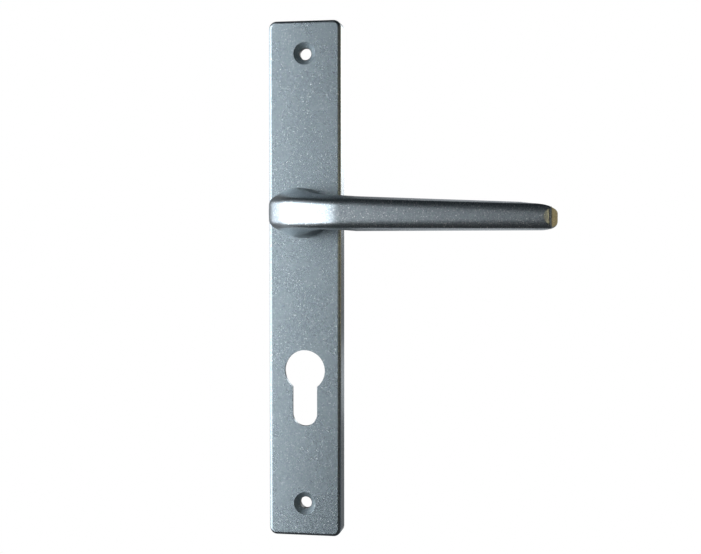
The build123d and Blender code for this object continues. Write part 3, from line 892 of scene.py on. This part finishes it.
def studio_paper(name, tone, strength, fades=()):
    """Paper that is white to the camera and pale to soft light, and has a tone for metal.

    Each fade is an axis, two places on it in millimetres, and the shares of the strength
    there. The shares of all fades are multiplied."""
    material, tree = new_material(name)
    rays = add(tree, "LightPath")
    paper = add(tree, "BsdfDiffuse", Color=linear("#e8e8e8"))[0]
    white = add(tree, "Emission", Color=linear("#ffffff"), Strength=1.0)[0]
    place = axes(tree)
    level = strength
    for axis, start, end, low, high in fades:
        smooth = {"interpolation_type": "SMOOTHSTEP"}
        ends = start * MM, end * MM, low, high
        share = add(tree, "MapRange", smooth, place[axis], *ends)[0]
        level = add(tree, "Math", {"operation": "MULTIPLY"}, share, level)[0]
    toned = add(tree, "Emission", Color=linear(tone), Strength=level)[0]
    metal_rays = rays["Is Glossy Ray"], rays["Is Transmission Ray"]
    mirrored = add(tree, "Math", {"operation": "MAXIMUM"}, *metal_rays)[0]
    for_metal = add(tree, "MixShader", {}, mirrored, paper, toned)[0]
    shown = add(tree, "MixShader", {}, rays["Is Camera Ray"], for_metal, white)[0]
    return finish_material(material, tree, shown)


stage_sheet(
    "backdrop",
    (-HALF, BACK, FLOOR),
    (HALF, BACK, TOP),
    studio_paper(
        "backdrop_paper",
        "#f4f7fa",
        0.62,
        [("X", -150, -50, 0.3, 1.0), ("X", 30, 190, 1.0, 0.3), ("Z", -700, -200, 1.25, 1.0)],
    ),
)
stage_sheet(
    "floor",
    (-HALF, FRONT, FLOOR),
    (HALF, BACK, FLOOR),
    studio_paper("floor_paper", "#f4f7fa", 0.75, [("Y", 330, 650, 0.08, 1.0)]),
)
stage_sheet(
    "far_wall",
    (FAR_WALL_LEFT, FRONT, -FAR_WALL_HALF),
    (HALF, FRONT, FAR_WALL_HALF),
    studio_paper(
        "far_wall_paper",
        "#e9eef2",
        0.95,
        [
            ("X", -545, -420, 0.05, 1.1),
            ("X", -450, 0, 1.0, 0.2),
            ("Z", -600, -200, 0.1, 1.0),
            ("Z", 200, 600, 1.0, 0.1),
        ],
    ),
)
stage_sheet(
    "black_card",
    (-325, BLACK_CARD_Y, -220),
    (-45, BLACK_CARD_Y, 220),
    studio_paper("black_card_paper", "#2a2d30", 1.0),
)
stage_sheet(
    "pale_card",
    (90, PALE_CARD_Y, -200),
    (240, PALE_CARD_Y, -127),
    studio_paper("pale_card_paper", "#f4f7fa", 0.8),
)
stage_sheet(
    "tan_wall",
    (520, TAN_WALL_Y, -400),
    (1500, TAN_WALL_Y, 500),
    studio_paper("tan_wall_paper", "#e8dcc0", 0.6),
)
stage_sheet(
    "warm_card_behind",
    (WARM_CARD_X, 40, -100),
    (WARM_CARD_X, 420, 300),
    studio_paper("tan_card", "#c8b080", 1.0),
)
stage_sheet(
    "grey_card",
    (GREY_CARD_X, -420, -700),
    (GREY_CARD_X, 60, 700),
    studio_paper("grey_card_paper", "#dfe4e8", 0.3),
)

# %% [markdown]
# ## Lamps
#
# A soft box's power follows from how bright its face should look: a flat lamp of area a and
# radiance r gives pi a r watts. There are five. The big one at the left gives the white patch
# on the bend, and its spill, taller and faint, lights the flanks above and below. The rear
# one carries that light round to the lever's left edge. The right one is mirrored by the
# plate's right wall above the lever, and the small warm one by the end of the grip.

# %% Lamps and surroundings
LAMPS = (
    ("left_soft_box", (-736, -425, 0), (1560, 1200), 3.35, "#f4f8fb"),
    ("left_spill", (-736, -425, 0), (1565, 2400), 0.35, "#f4f8fb"),
    ("rear_soft_box", (-700, 300, 0), (440, 440), 1.7, "#eef5fb"),
    ("right_soft_box", (290, 760, 185), (400, 320), 2.4, "#ffffff"),
    ("warm_soft_box", (713, -728, 0), (240, 90), 3.2, "#f2dca4"),
)


def soft_box(name, place, size, radiance, colour):
    """A rectangular lamp, width by height in millimetres, that faces the handle."""
    lamp = bpy.data.lights.new(name, "AREA")
    lamp.shape = "RECTANGLE"
    lamp.size, lamp.size_y = (side * MM for side in size)
    lamp.energy = np.pi * lamp.size * lamp.size_y * radiance
    lamp.color = linear(colour)[:3]
    box = bpy.data.objects.new(name, lamp)
    box.location = [value * MM for value in place]
    box.rotation_euler = (-box.location).to_track_quat("-Z", "Y").to_euler()
    box.visible_camera = False
    bpy.context.scene.collection.objects.link(box)
    return box


lamps = [soft_box(*lamp) for lamp in LAMPS]
world = bpy.data.worlds.new("studio")
bpy.context.scene.world = world
world.use_nodes = True
sky = world.node_tree
sky.nodes.clear()
rays = add(sky, "LightPath")
fill, dark, white = (
    add(sky, "Background", Color=linear(tone), Strength=1.0)[0]
    for tone in ("#c8ced2", "#303336", "#ffffff")
)
for_metal = add(sky, "MixShader", {}, rays["Is Glossy Ray"], fill, dark)[0]
shown = add(sky, "MixShader", {}, rays["Is Camera Ray"], for_metal, white)[0]
add(sky, "OutputWorld", Surface=shown)
bpy.context.scene.view_settings.view_transform = "Standard"
print("lamps:", [lamp.name for lamp in lamps])
